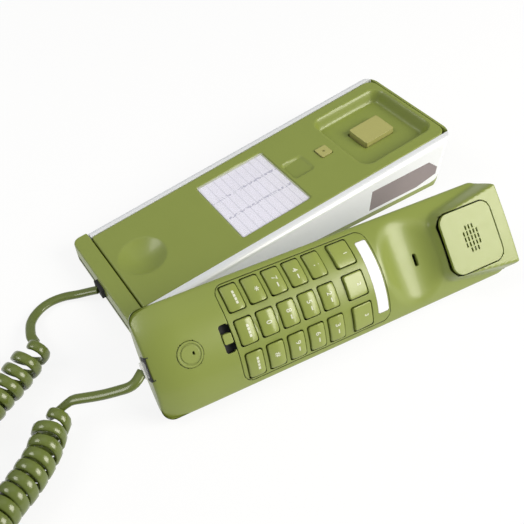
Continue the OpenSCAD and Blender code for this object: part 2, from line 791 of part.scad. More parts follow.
// ---- cord ---------------------------------------------------------------
// Route of each stretch, then a tube swept along it
tail_base_route = [[mic_x - bushing_out, 0, 6.2], [-121, 3, 4.6], [-127, 6.5, 2.8], [-134, 9.8, 2.2],
    [-142, 10.6, 2.2], [-149, 8.4, 2.4], [-154.6, 3.4, 3.4], [-157.4, -3, 5.6], [-159.6, -12, 8.4]];
coil_route = [[-156, -15.6, 9], [-161, -20.4, 9], [-170, -27, 9], [-181, -33.5, 9], [-193, -39.5, 9],
    [-206, -45, 9], [-220, -49, 9], [-234, -54, 9], [-245, -63, 9], [-250, -76, 9], [-247, -89, 9],
    [-237, -98, 9], [-224, -100, 9], [-211, -95, 9], [-200, -88, 9], [-189, -82, 9], [-178.6, -74.4, 9],
    [-171.4, -65.6, 9], [-164.4, -58.6, 9]];
tail_hand_route = [[-159.2, -60.6, 15.6], [-153, -64.4, 17], [-146, -68.8, 18.8], [-139, -72.6, 21],
    [-132, -75.6, 23.4]];

function unit(v) = v / norm(v);
function run_dir(p, i) = unit(p[min(i + 1, len(p) - 1)] - p[max(i - 1, 0)]);
function side_of(t) = unit(cross(t, [0, 0, 1]));
function ring(p, i, a, b, n) = let (t = run_dir(p, i), s = side_of(t), u = cross(s, t))
    [for (k = [0:n - 1]) p[i] + s * a * cos(360 * k / n) + u * b * sin(360 * k / n)];

// Oval tube with half-axes a (level) and b (upright) along the points p
module tube(p, a, b, n) {
    m = len(p);
    polyhedron(
        points = [for (i = [0:m - 1]) each ring(p, i, a, b, n)],
        faces = concat(
            [[for (k = [0:n - 1]) k]],
            [[for (k = [n - 1:-1:0]) (m - 1) * n + k]],
            [for (i = [0:m - 2], k = [0:n - 1])
                each [[i * n + k, (i + 1) * n + k, i * n + (k + 1) % n],
                      [i * n + (k + 1) % n, (i + 1) * n + k, (i + 1) * n + (k + 1) % n]]]),
        convexity = 10);
}

module cord_tail_base() color(green) tube(tail_base_route, cord_t / 2, cord_t / 2, 8);
module cord_coil() color(deep_green) tube(coil_route, coil_d / 2, coil_d / 2, 12);
module cord_tail_handset() color(green) tube(concat(tail_hand_route, [plug_exit]), cord_t / 2, cord_t / 2, 8);

plug_exit = hand_point([hx0 - 2, 0, jack_z]);

// A point of the handset's frame in the base's frame
function turn_x(p, a) = [p[0], p[1] * cos(a) - p[2] * sin(a), p[1] * sin(a) + p[2] * cos(a)];
function turn_y(p, a) = [p[0] * cos(a) + p[2] * sin(a), p[1], p[2] * cos(a) - p[0] * sin(a)];
function turn_z(p, a) = [p[0] * cos(a) - p[1] * sin(a), p[0] * sin(a) + p[1] * cos(a), p[2]];
function hand_point(p) = hand_pos + turn_z(turn_y(turn_x(p, hand_lean), hand_pitch), hand_turn);

module handset_plug() color("lightgray") in_hand()
    translate([hx0 - 2, -plug_w / 2, jack_z - plug_h / 2]) cube([jack_l - 1, plug_w, plug_h]);

base_bottom_shell();
base_top_shell();
side_trim_near();
side_trim_far();
ring_lamp_lens();
ring_lamp_led();
base_circuit_board();
hook_switch_module();
hookswitch_spring();
hookswitch_plunger();
ringer_sounder();
ringer_switch_body();
ringer_switch_knob();
index_card();
card_cover();
handset_hanger();
ballast_plate();
line_jack();
cord_bushing();
base_screws();
rubber_feet();
handset_face_shell();
handset_back_shell();
keypad_faceplate();
earpiece_plate();
receiver_capsule();
receiver_gasket();
microphone_cap();
microphone_capsule();
keypad_mat();
keypad_circuit_board();
volume_knob();
volume_switch_body();
name_strip();
handset_jack();
handset_weight();
handset_screws();
// columns run from the microphone to the ear, rows from the far side to the near one
key(0, 0);  // key_redial
key(0, 1);  // key_flash
key(0, 2);  // key_mute
key(1, 0);  // key_star
key(1, 1);  // key_0
key(1, 2);  // key_hash
key(2, 0);  // key_7
key(2, 1);  // key_8
key(2, 2);  // key_9
key(3, 0);  // key_4
key(3, 1);  // key_5
key(3, 2);  // key_6
key(4, 0);  // key_1
key(4, 1);  // key_2
key(4, 2);  // key_3
key(5, 0);  // key_memory_1
key(5, 1);  // key_memory_2
key(5, 2);  // key_memory_3
cord_tail_base();
cord_coil();
cord_tail_handset();
handset_plug();
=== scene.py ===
"""A slimline wall telephone with its handset lying beside it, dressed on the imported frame."""

import json
import math

import bmesh
import bpy
import numpy as np
from bpy.props import FloatProperty, FloatVectorProperty, IntProperty, PointerProperty
from mathutils import Matrix, Vector


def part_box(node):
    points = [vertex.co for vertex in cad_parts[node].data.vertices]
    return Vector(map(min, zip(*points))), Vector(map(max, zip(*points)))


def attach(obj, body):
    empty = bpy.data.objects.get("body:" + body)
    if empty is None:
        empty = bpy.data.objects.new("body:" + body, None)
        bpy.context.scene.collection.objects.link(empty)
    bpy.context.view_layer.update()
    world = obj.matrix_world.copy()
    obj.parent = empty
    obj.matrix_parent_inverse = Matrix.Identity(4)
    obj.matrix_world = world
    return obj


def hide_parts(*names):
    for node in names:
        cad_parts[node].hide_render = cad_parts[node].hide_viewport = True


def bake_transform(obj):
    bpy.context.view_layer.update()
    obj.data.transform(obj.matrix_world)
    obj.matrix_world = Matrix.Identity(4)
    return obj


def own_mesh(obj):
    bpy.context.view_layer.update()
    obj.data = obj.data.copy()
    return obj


bl_info = {
    "name": "Slimline wall telephone",
    "version": (1, 0, 0),
    "blender": (4, 5, 0),
    "location": "View3D > Sidebar > Telephone",
    "description": "Builds the shells, keys, cord and finishes of a slimline wall telephone",
    "category": "Object",
}

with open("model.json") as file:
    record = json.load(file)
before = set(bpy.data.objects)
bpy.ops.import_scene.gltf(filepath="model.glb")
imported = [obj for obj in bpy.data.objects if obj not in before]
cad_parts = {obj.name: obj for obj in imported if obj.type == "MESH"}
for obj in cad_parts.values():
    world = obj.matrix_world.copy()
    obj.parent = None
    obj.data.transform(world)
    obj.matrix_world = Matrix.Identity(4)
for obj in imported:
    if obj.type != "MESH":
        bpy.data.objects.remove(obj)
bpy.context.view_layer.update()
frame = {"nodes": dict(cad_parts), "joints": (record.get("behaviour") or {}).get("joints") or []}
MM = 0.001

# places in the base's own millimetres
MIC_END = -115
BASE_LENGTH = 226
DECK_LOW = 12.9
DECK_SLOPE = 0.109735
DECK_HALF_MIC = 31.1
DECK_HALF_EAR = 35.5
WELL_X = 78.5
HANGER_X = 40
CARD_X = -13.6
DIMPLE_X = -88

# places in the handset's own millimetres
HANDSET_ENDS = (-72, 138)
HANDSET_HALF = 27.5
HANDSET_THICK = 22
CROWN_RADIUS = 43.4
BACK_RADIUS = 39.4
SADDLE_X = 76
SADDLE_RADIUS = 25.48
SADDLE_DEPTH = 6.5
JACK_Z = -9
KEY_PITCH_LONG = 11.56
KEY_PITCH_ACROSS = 16.9
WIDE_KEY_X = 39.12


# ---- the phone's own frames ---------------------------------------------------------


def joint_axis(name):
    """Direction of one of the phone's joints."""
    for joint in frame["joints"]:
        if joint["name"] == name:
            return Vector(joint["axis"]).normalized()
    raise RuntimeError(f"the frame has no joint {name}")


def handset_frame():
    """Millimetres along, across and out of the handset, to metres in the row frame."""
    out = joint_axis("press_key_5")
    across = joint_axis("volume_switch_slide")
    along = across.cross(out)
    turn = Matrix((along, across, out)).transposed()
    low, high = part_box("microphone_capsule")
    origin = (low + high) / 2 - turn @ Vector((-0.052, 0, -0.00495))
    return Matrix.Translation(origin) @ turn.to_4x4() @ Matrix.Scale(MM, 4)


def deck_height(x):
    """Height of the sloping deck over the wall side, in millimetres."""
    return DECK_LOW + DECK_SLOPE * (x - MIC_END)


# ---- sizes and colours --------------------------------------------------------------


class TelephoneSizes(bpy.types.PropertyGroup):
    """Sizes of the pieces that are made here, in millimetres or metres as each says."""

    key_ridge: FloatProperty(
        name="Key ridge", description="Rise of the ridge on a small key, mm", default=0.95
    )
    shell_edge: FloatProperty(
        name="Shell edge", description="Radius of the handset's rim, mm", default=1.15
    )
    cord_width: FloatProperty(
        name="Cord width", description="Width of the flat cord", default=0.0052,
        unit="LENGTH",
    )
    cord_thick: FloatProperty(
        name="Cord thickness", description="Thickness of the flat cord", default=0.0028,
        unit="LENGTH",
    )
    coil_radius: FloatProperty(
        name="Coil radius", description="Radius of the curl's centreline", default=0.0075,
        unit="LENGTH",
    )
    coil_pitch: FloatProperty(
        name="Coil pitch", description="Distance between turns", default=0.0056,
        unit="LENGTH",
    )
    ring_sides: IntProperty(
        name="Points per turn", description="Rings in each turn of the curl", default=16
    )


def colour(label, words, value):
    """A colour property with the usual limits."""
    return FloatVectorProperty(
        name=label, description=words, default=value, min=0, max=1, subtype="COLOR"
    )


class TelephoneColours(bpy.types.PropertyGroup):
    """Finishes of the phone, as linear colours."""

    shell: colour("Shell", "Moulded olive green plastic", (0.222, 0.268, 0.052))
    shell_deep: colour("Shell, deep", "Its darker flow marks", (0.202, 0.248, 0.046))
    keys: colour("Keys", "Key cap plastic", (0.25, 0.295, 0.066))
    trim: colour("Trim", "Silver white side trim", (0.66, 0.665, 0.71))
    lens: colour("Lens", "Smoky ring lamp lens", (0.075, 0.052, 0.053))
    card: colour("Card", "Index card paper", (0.80, 0.79, 0.93))
    ink: colour("Ink", "Ruled lines on the card", (0.36, 0.36, 0.52))
    legend: colour("Legend", "Printed figures on the keys", (0.62, 0.64, 0.52))
    cord: colour("Cord", "Vinyl of the cord", (0.125, 0.16, 0.028))


# ---- finishes -----------------------------------------------------------------------


def new_finish(name):
    """An empty finish with its shader and output."""
    finish = bpy.data.materials.new(name)
    finish.use_nodes = True
    tree = finish.node_tree
    shader = tree.nodes["Principled BSDF"]
    return finish, tree, shader


def moulded(name, base, deep, rough, grain=0.06, coat=0.0, metal=0.0, clear=1.0):
    """Moulded plastic: slow flow marks in the colour, fine grain, uneven polish."""
    finish, tree, shader = new_finish(name)
    place = tree.nodes.new("ShaderNodeTexCoord")
    flow = tree.nodes.new("ShaderNodeTexNoise")
    flow.inputs["Scale"].default_value = 38
    flow.inputs["Detail"].default_value = 4
    tree.links.new(place.outputs["Object"], flow.inputs["Vector"])
    blend = tree.nodes.new("ShaderNodeMix")
    blend.data_type = "RGBA"
    blend.inputs["A"].default_value = (*base, 1)
    blend.inputs["B"].default_value = (*deep, 1)
    tree.links.new(flow.outputs["Fac"], blend.inputs["Factor"])
    tree.links.new(blend.outputs["Result"], shader.inputs["Base Color"])
    wear = tree.nodes.new("ShaderNodeTexNoise")
    wear.inputs["Scale"].default_value = 210
    wear.inputs["Detail"].default_value = 6
    tree.links.new(place.outputs["Object"], wear.inputs["Vector"])
    polish = tree.nodes.new("ShaderNodeMapRange")
    polish.inputs["To Min"].default_value = rough - 0.05
    polish.inputs["To Max"].default_value = rough + 0.06
    tree.links.new(wear.outputs["Fac"], polish.inputs["Value"])
    tree.links.new(polish.outputs["Result"], shader.inputs["Roughness"])
    pores = tree.nodes.new("ShaderNodeTexNoise")
    pores.inputs["Scale"].default_value = 2600
    pores.inputs["Detail"].default_value = 2
    tree.links.new(place.outputs["Object"], pores.inputs["Vector"])
    soft = tree.nodes.new("ShaderNodeBevel")
    soft.samples = 4
    soft.inputs["Radius"].default_value = 0.0006
    bump = tree.nodes.new("ShaderNodeBump")
    bump.inputs["Strength"].default_value = grain
    bump.inputs["Distance"].default_value = 0.0004
    tree.links.new(pores.outputs["Fac"], bump.inputs["Height"])
    tree.links.new(soft.outputs["Normal"], bump.inputs["Normal"])
    tree.links.new(bump.outputs["Normal"], shader.inputs["Normal"])
    shader.inputs["Coat Weight"].default_value = coat
    shader.inputs["Coat Roughness"].default_value = 0.12
    shader.inputs["Metallic"].default_value = metal
    shader.inputs["Alpha"].default_value = clear
    return finish


def ruled_card(name, paper, ink):
    """Card stock with ruled lines across it and two rows of small printed marks."""
    finish, tree, shader = new_finish(name)
    place = tree.nodes.new("ShaderNodeTexCoord")
    apart = tree.nodes.new("ShaderNodeSeparateXYZ")
    tree.links.new(place.outputs["Object"], apart.inputs["Vector"])

    def sums(kind, first, second):
        node = tree.nodes.new("ShaderNodeMath")
        node.operation = kind
        for socket, value in zip(node.inputs, (first, second)):
            if isinstance(value, bpy.types.NodeSocket):
                tree.links.new(value, socket)
            else:
                socket.default_value = value
        return node.outputs[0]

    across = sums("MULTIPLY", apart.outputs["X"], 1 / 0.00525)
    rule = sums("LESS_THAN", sums("FRACT", across, 0), 0.13)
    speckle = tree.nodes.new("ShaderNodeTexNoise")
    speckle.inputs["Scale"].default_value = 620
    tree.links.new(place.outputs["Object"], speckle.inputs["Vector"])
    dots = sums("GREATER_THAN", speckle.outputs["Fac"], 0.5)
    rows = None
    for row in (0.0085, -0.0075):
        near = sums("ABSOLUTE", sums("SUBTRACT", apart.outputs["Y"], row), 0)
        band = sums("LESS_THAN", near, 0.0009)
        rows = band if rows is None else sums("MAXIMUM", rows, band)
    marks = sums("MULTIPLY", rows, dots)
    drawn = sums("MAXIMUM", sums("MULTIPLY", rule, 0.42), marks)
    blend = tree.nodes.new("ShaderNodeMix")
    blend.data_type = "RGBA"
    blend.inputs["A"].default_value = (*paper, 1)
    blend.inputs["B"].default_value = (*ink, 1)
    tree.links.new(drawn, blend.inputs["Factor"])
    tree.links.new(blend.outputs["Result"], shader.inputs["Base Color"])
    bump = tree.nodes.new("ShaderNodeBump")
    bump.inputs["Strength"].default_value = 0.08
    bump.inputs["Distance"].default_value = 0.0002
    tree.links.new(speckle.outputs["Fac"], bump.inputs["Height"])
    tree.links.new(bump.outputs["Normal"], shader.inputs["Normal"])
    shader.inputs["Roughness"].default_value = 0.62
    return finish


def finishes():
    """Every finish of the phone by name, made once."""
    tint = bpy.context.scene.telephone_colours
    if "olive_shell" in bpy.data.materials:
        return bpy.data.materials
    moulded("olive_shell", tint.shell, tint.shell_deep, 0.38, 0.05, 0.18)
    moulded("olive_pale", (0.38, 0.37, 0.125), (0.35, 0.34, 0.11), 0.4, 0.04)
    moulded("olive_keys", tint.keys, tint.shell, 0.30, 0.03, 0.15)
    moulded("silver_trim", tint.trim, tint.trim, 0.24, 0.015, 0.25, 0.35)
    moulded("smoky_lens", tint.lens, tint.lens, 0.14, 0.01, 0.3, clear=0.88)
    moulded("clear_cover", (0.9, 0.9, 0.95), (0.9, 0.9, 0.95), 0.1, 0.01, clear=0.08)
    moulded("clear_plug", (0.8, 0.83, 0.8), (0.75, 0.8, 0.76), 0.12, 0.01, clear=0.55)
    moulded("black_plastic", (0.012, 0.012, 0.012), (0.02, 0.02, 0.02), 0.42)
    moulded("rubber_feet", (0.02, 0.02, 0.02), (0.035, 0.034, 0.032), 0.75, 0.2)
    moulded("lamp_red", (0.55, 0.03, 0.02), (0.4, 0.02, 0.02), 0.2)
    moulded("circuit_board", (0.02, 0.14, 0.05), (0.015, 0.1, 0.04), 0.4)
    moulded("spring_steel", (0.55, 0.55, 0.56), (0.4, 0.4, 0.42), 0.3, 0.02, 0, 1)
    moulded("weight_steel", (0.3, 0.3, 0.3), (0.2, 0.19, 0.18), 0.5, 0.2, 0, 1)
    moulded("white_legend", tint.legend, tint.legend, 0.5, 0.02)
    moulded("white_label", (0.82, 0.82, 0.86), (0.78, 0.78, 0.84), 0.35, 0.02)
    moulded("vinyl_cord", tint.cord, (0.095, 0.125, 0.02), 0.24, 0.02, 0.3)
    ruled_card("index_paper", tint.card, tint.ink)
    return bpy.data.materials


def dress(name, *nodes):
    """Give these CAD nodes one finish."""
    finish = finishes()[name]
    for node in nodes:
        piece = frame["nodes"][node]
        if not piece.material_slots:
            piece.data.materials.append(finish)
        for holder in piece.material_slots:
            holder.material = finish


def add_piece(name, mesh, finish):
    """Link a finished mesh as a piece of the phone."""
    piece = bpy.data.objects.new(name, mesh)
    bpy.context.scene.collection.objects.link(piece)
    mesh.materials.append(finishes()[finish])
    return piece


# ---- moulded skins ------------------------------------------------------------------


def rim_lines(low, high, step, edge):
    """Grid lines from one side to the other, closer together in the rounded rim."""
    rim = edge * np.array([0, 0.03, 0.1, 0.21, 0.36, 0.54, 0.76])
    count = max(3, int(round((high - low - 2 * edge) / step)) + 1)
    middle = np.linspace(low + edge, high - edge, count)
    return np.concatenate([low + rim, middle, (high - rim)[::-1]])


def box_distance(x, y, middle, half, corner):
    """Distance to a rounded rectangle, negative inside it."""
    a = np.abs(x - middle[0]) - (half[0] - corner)
    b = np.abs(y - middle[1]) - (half[1] - corner)
    outside = np.hypot(np.maximum(a, 0), np.maximum(b, 0))
    return outside + np.minimum(np.maximum(a, b), 0) - corner


def moulded_skin(name, sides, corner, edge, step, height, foot, windows=(), lip=1.8, cap=True,
                 taper=None):
    """A skin over a rounded rectangle: its height, a rounded rim, side walls and windows."""
    x0, x1, y0, y1 = sides
    first, last = corner if isinstance(corner, tuple) else (corner, corner)
    x, y = np.meshgrid(
        rim_lines(x0, x1, step, edge), rim_lines(y0, y1, step, edge), indexing="ij"
    )
    corner = np.where(x < (x0 + x1) / 2, first, last)
    core_x = np.clip(x, x0 + first, x1 - last)
    core_y = np.clip(y, y0 + corner, y1 - corner)
    a = x - core_x
    b = y - core_y
    reach = np.maximum(np.abs(a), np.abs(b))
    length = np.hypot(a, b)
    pull = np.where(length > 0, reach / np.maximum(length, 1e-9), 1)
    x = core_x + a * pull
    y = core_y + b * pull
    inset = np.minimum(corner - reach, edge)
    for window in windows:
        for _ in range(3):
            d = window(x, y)
            e = 0.01
            gx = (window(x + e, y) - window(x - e, y)) / (2 * e)
            gy = (window(x, y + e) - window(x, y - e)) / (2 * e)
            near = (np.abs(d) < 0.58 * step) & (inset >= edge)
            x = np.where(near, x - d * gx, x)
            y = np.where(near, y - d * gy, y)
    drop = edge - np.sqrt(np.maximum(edge**2 - (edge - inset) ** 2, 0))
    if taper:
        y = y * taper(x)
    z = height(x, y) - drop
    rows, columns = x.shape
    body = bmesh.new()
    knots = [body.verts.new(p) for p in zip(x.ravel(), y.ravel(), z.ravel())]
    mid_x = (x[1:, 1:] + x[:-1, :-1] + x[1:, :-1] + x[:-1, 1:]) / 4
    mid_y = (y[1:, 1:] + y[:-1, :-1] + y[1:, :-1] + y[:-1, 1:]) / 4
    kept = np.ones(mid_x.shape, bool)
    for window in windows:
        kept &= window(mid_x, mid_y) > 0
    for i, j in zip(*np.nonzero(kept)):
        k = i * columns + j
        body.faces.new((knots[k], knots[k + columns], knots[k + columns + 1], knots[k + 1]))
    outer = set()
    for i in range(rows):
        outer.update((knots[i * columns], knots[i * columns + columns - 1]))
    for j in range(columns):
        outer.update((knots[j], knots[(rows - 1) * columns + j]))
    walls = []
    lips = []
    for line in [e for e in body.edges if e.is_boundary]:
        whole = line.verts[0] in outer and line.verts[1] in outer
        (walls if whole else lips).append(line)
    if lips:
        made = bmesh.ops.extrude_edge_only(body, edges=lips)
        for knot in [g for g in made["geom"] if isinstance(g, bmesh.types.BMVert)]:
            knot.co.z -= lip
    made = bmesh.ops.extrude_edge_only(body, edges=walls)
    feet = [g for g in made["geom"] if isinstance(g, bmesh.types.BMVert)]
    for knot in feet:
        knot.co.z = foot
    if cap:
        ring = [g for g in made["geom"] if isinstance(g, bmesh.types.BMEdge)]
        ring = [g for g in ring if g.verts[0] in feet and g.verts[1] in feet]
        bmesh.ops.contextual_create(body, geom=ring)
    loose = [v for v in body.verts if not v.link_faces]
    bmesh.ops.delete(body, geom=loose, context="VERTS")
    bmesh.ops.recalc_face_normals(body, faces=body.faces)
    mesh = bpy.data.meshes.new(name)
    body.to_mesh(mesh)
    body.free()
    return mesh


def settle(mesh, place, angle=42):
    """Put a skin made in millimetres in its place, and smooth its curved faces."""
    mesh.transform(place)
    mesh.shade_smooth()
    mesh.set_sharp_from_angle(angle=math.radians(angle))
    mesh.update()
    return mesh


# ---- the handset --------------------------------------------------------------------


def crown(y):
    """Height of the handset's crowned face across it."""
    return np.sqrt(CROWN_RADIUS**2 - np.asarray(y) ** 2) - CROWN_RADIUS


def ease(t):
    """A smooth step from 0 to 1."""
    t = np.clip(t, 0, 1)
    return t * t * (3 - 2 * t)


def face_height(x, y):
    """The handset's face: crown, finger saddle, sloping chin and raised ear block."""
    away = np.clip(np.abs(x - SADDLE_X), 0, 24)
    dip = SADDLE_RADIUS - SADDLE_DEPTH - np.sqrt(SADDLE_RADIUS**2 - away**2)
    arch = crown(y)
    near = np.clip(0.5 + 0.5 * (dip - arch) / 2.4, 0, 1)
    body = dip * (1 - near) + arch * near - 2.4 * near * (1 - near)
    body = body - 4.6 * np.clip((-48 - x) / 24, 0, 1) ** 2.8
    flare = (19.3 + 7.4 * np.clip((x - 94) / 44, 0, 1)) / 24
    block = box_distance(x, y / flare, (122, 0), (30, 24), 8)
    rise = ease(-block / 4.2)
    top = 4.95 - 0.0012 * np.asarray(y) ** 2
    return body * (1 - rise) + top * rise


def back_height(x, y):
    """The handset's back, as a depth: a shallow arch, cut away under the ear end."""
    sink = BACK_RADIUS - np.sqrt(BACK_RADIUS**2 - np.asarray(y) ** 2)
    arch = HANDSET_THICK - sink
    return arch - 0.72 * np.clip(x - 130, 0, 8) * (arch > 12)


def face_windows():
    """Openings in the handset's face."""
    return (
        lambda x, y: box_distance(x, y, (13, 0), (43.35, 24.85), 5.3),
        lambda x, y: box_distance(x, y, (-33, 0), (2.6, 7.1), 1.4),
        lambda x, y: box_distance(x, y, (-52, 0), (6.4, 6.4), 6.39),
        lambda x, y: box_distance(x, y, (81, -1), (1.1, 3.5), 0.9),
        lambda x, y: box_distance(x, y, (112, 0), (17.7, 17.7), 6.6),
    )


# key node: (column from the microphone, row from the far side)
KEY_PLACES = {
    "key_redial": (0, 0), "key_flash": (0, 1), "key_mute": (0, 2),
    "key_star": (1, 0), "key_0": (1, 1), "key_hash": (1, 2),
    "key_7": (2, 0), "key_8": (2, 1), "key_9": (2, 2),
    "key_4": (3, 0), "key_5": (3, 1), "key_6": (3, 2),
    "key_1": (4, 0), "key_2": (4, 1), "key_3": (4, 2),
    "key_memory_1": (5, 0), "key_memory_2": (5, 1), "key_memory_3": (5, 2),
}
KEY_FIGURES = {
    "key_star": "*", "key_0": "0", "key_hash": "#", "key_memory_1": "1",
    "key_memory_2": "2", "key_memory_3": "3",
}


def key_middle(node):
    """Centre of a key on the handset, in millimetres, and half its length and width."""
    column, row = KEY_PLACES[node]
    if column == 5:
        return WIDE_KEY_X, (1 - row) * KEY_PITCH_ACROSS, 6.0, 6.5
    return (column - 2) * KEY_PITCH_LONG, (1 - row) * KEY_PITCH_ACROSS, 4.5, 6.5


def key_height(node):
    """The shape of a key's top: a ridged small key, or a wide key like a wedge."""
    ridge = bpy.context.scene.telephone_sizes.key_ridge
    kx, ky, half, _ = key_middle(node)
    wide = KEY_PLACES[node][0] == 5

    def height(x, y):
        t = (x - kx) / half
        if wide:
            return crown(y) + 0.95 - 0.75 * t
        slope = np.where(t < 0.18, (0.18 - t) / 1.18, (t - 0.18) / 0.82)
        return crown(y) + 1.15 + ridge * 0.7 - ridge * slope**1.5

    return height


def figure_mesh(text, size):
    """A printed figure as flat faces, in millimetres."""
    curve = bpy.data.curves.new("figure", "FONT")
    curve.body = text
    curve.size = size
    curve.offset = 0.012 * size
    curve.resolution_u = 4
    curve.align_x = "CENTER"
    curve.align_y = "CENTER"
    holder = bpy.data.objects.new("figure", curve)
    bpy.context.scene.collection.objects.link(holder)
    graph = bpy.context.evaluated_depsgraph_get()
    mesh = bpy.data.meshes.new_from_object(holder.evaluated_get(graph))
    bpy.data.objects.remove(holder)
    bpy.data.curves.remove(curve)
    return mesh


def bar_points(width, length, right, up):
    """A small printed bar, centred right and up from the key's middle."""
    return [
        (right - width / 2, up - length / 2), (right + width / 2, up - length / 2),
        (right + width / 2, up + length / 2), (right - width / 2, up + length / 2),
    ]


def legend_mesh(node, height):
    """Figures and bars printed on one key."""
    kx, ky, _, _ = key_middle(node)
    body = bmesh.new()
    column = KEY_PLACES[node][0]
    text = KEY_FIGURES.get(node, node[4:] if node[4:].isdigit() else "")
    if text:
        mesh = figure_mesh(text, 5.2 if text == "*" else 3.9)
        if column == 5:
            mesh.transform(Matrix.Translation((0, 1.8, 0)) @ Matrix.Scale(0.85, 4))
        elif text != "0" and text not in "*#1":
            mesh.transform(Matrix.Translation((-1.5, 0, 0)))
        body.from_mesh(mesh)
        bpy.data.meshes.remove(mesh)
    bars = []
    if column == 0:
        bars = [bar_points(1.35, 1.2, -2.55 + 1.7 * i, 0.9) for i in range(4)]
    elif text and column < 5 and text not in "*#01":
        bars = [bar_points(2.2, 0.7, 1.9, 0.3)]
    for corners in bars:
        body.faces.new([body.verts.new((u, v, 0)) for u, v in corners])
    for knot in body.verts:
        right, up, _ = knot.co
        x = kx + up
        y = ky - right
        knot.co = (x, y, float(height(np.array(x), np.array(y))) + 0.07)
    legend = bpy.data.meshes.new(node + "_legend")
    body.to_mesh(legend)
    body.free()
    return legend


# ---- the base -----------------------------------------------------------------------


def deck_taper(x):
    """Half the deck's width at x, as a share of its width at the ear end."""
    gain = (DECK_HALF_EAR - DECK_HALF_MIC) * (x - MIC_END) / BASE_LENGTH
    return (DECK_HALF_MIC + gain) / DECK_HALF_EAR


def base_height(x, y):
    """The deck with its well, chin dimple, card pocket and finger notch."""
    z = deck_height(x)
    well = box_distance(x, y, (WELL_X, 0), (28.5, 27.5), 8)
    z = z - 7.4 * ease(-well / 4.6)
    dimple = np.hypot(x - DIMPLE_X, y) / 13.8
    z = z - 4.2 * np.clip(1 - dimple**2, 0, 1) ** 1.12
    pocket = box_distance(x, y, (CARD_X, 0), (23.9, 25.3), 1.2)
    z = z - 1.6 * np.clip(0.5 - pocket / 0.8, 0, 1)
    notch = box_distance(x, y, (20.2, 0), (7, 7), 1.5)
    slope = 3 - 2.4 * np.clip((x - 13.2) / 14, 0, 1)
    z = z - slope * np.clip(0.5 - notch / 0.9, 0, 1)
    return z


def spring_piece():
    """The hookswitch spring: a wound wire of six turns from the foot of the spring's part to its top."""
    up = joint_axis("hookswitch_press")
    knots = [v.co for v in frame["nodes"]["hookswitch_spring"].data.vertices]
    rise = [up.dot(k) for k in knots]
    low, high = min(rise), max(rise)
    middle = sum(knots, Vector()) / len(knots)
    foot = middle + up * (low - up.dot(middle))
    reach = max((k - foot - up * up.dot(k - foot)).length for k in knots)
    wire = 0.00035
    side = up.orthogonal().normalized()
    other = up.cross(side)
    turns = 6
    line = []
    broad = []
    for i in range(turns * 24 + 1):
        t = i / (turns * 24)
        angle = 2 * math.pi * turns * t
        out = side * math.cos(angle) + other * math.sin(angle)
        spot = foot + out * (reach - wire) + up * (wire + (high - low - 2 * wire) * t)
        line.append(spot)
        broad.append(out)
    mesh = flat_tube("hook_spring_wire", np.array(line), np.array(broad), 2 * wire, 2 * wire)
    mesh.shade_smooth()
    spring = add_piece("hook_spring_wire", mesh, "spring_steel")
    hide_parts("hookswitch_spring")
    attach(spring, "base")
    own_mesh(spring)


def base_windows():
    """Openings in the deck for the hookswitch button and the handset hanger."""
    return (
        lambda x, y: box_distance(x, y * deck_taper(x), (WELL_X + 0.5, 0), (11.8, 8.8), 1),
        lambda x, y: box_distance(x, y * deck_taper(x), (HANGER_X, 0), (4.3, 4.3), 0.6),
    )


# ---- the cord -----------------------------------------------------------------------

BASE_TAIL = [
    (-117, 0, 6.2), (-121, 3, 4.6), (-127, 6.5, 2.8), (-134, 9.8, 2.2), (-142, 10.6, 2.2),
    (-149, 8.4, 2.4), (-154.6, 3.4, 3.4), (-157.4, -3, 5.6), (-159.6, -12, 8.4),
]
CURL_LINE = [
    (-156, -15.6), (-161, -20.4), (-170, -27), (-181, -33.5), (-193, -39.5), (-206, -45),
    (-220, -49), (-234, -54), (-245, -63), (-250, -76), (-247, -89), (-237, -98),
    (-224, -100), (-211, -95), (-200, -88), (-189, -82), (-178.6, -74.4), (-171.4, -65.6),
    (-164.4, -58.6),
]
HANDSET_TAIL = [
    (-159.2, -60.6, 15.6), (-153, -64.4, 17), (-146, -68.8, 18.8), (-139, -72.6, 21),
    (-132, -75.6, 23.4), (-125.4, -72.3, 24.6),
]


def smooth_line(points, step):
    """A Catmull-Rom line through the points, cut into even steps."""
    p = np.array(points, float)
    p = np.vstack([2 * p[0] - p[1], p, 2 * p[-1] - p[-2]])
    line = []
    for i in range(1, len(p) - 2):
        t = np.linspace(0, 1, 24, endpoint=False)[:, None]
        a, b, c, d = p[i - 1], p[i], p[i + 1], p[i + 2]
        line.append(
            0.5 * (2 * b + (c - a) * t + (2 * a - 5 * b + 4 * c - d) * t**2
                   + (3 * b - a - 3 * c + d) * t**3)
        )
    line = np.vstack(line + [p[-2:-1]])
    run = np.concatenate([[0], np.cumsum(np.linalg.norm(np.diff(line, axis=0), axis=1))])
    even = np.linspace(0, run[-1], max(3, int(round(run[-1] / step)) + 1))
    return np.column_stack([np.interp(even, run, line[:, k]) for k in range(3)]), run[-1]


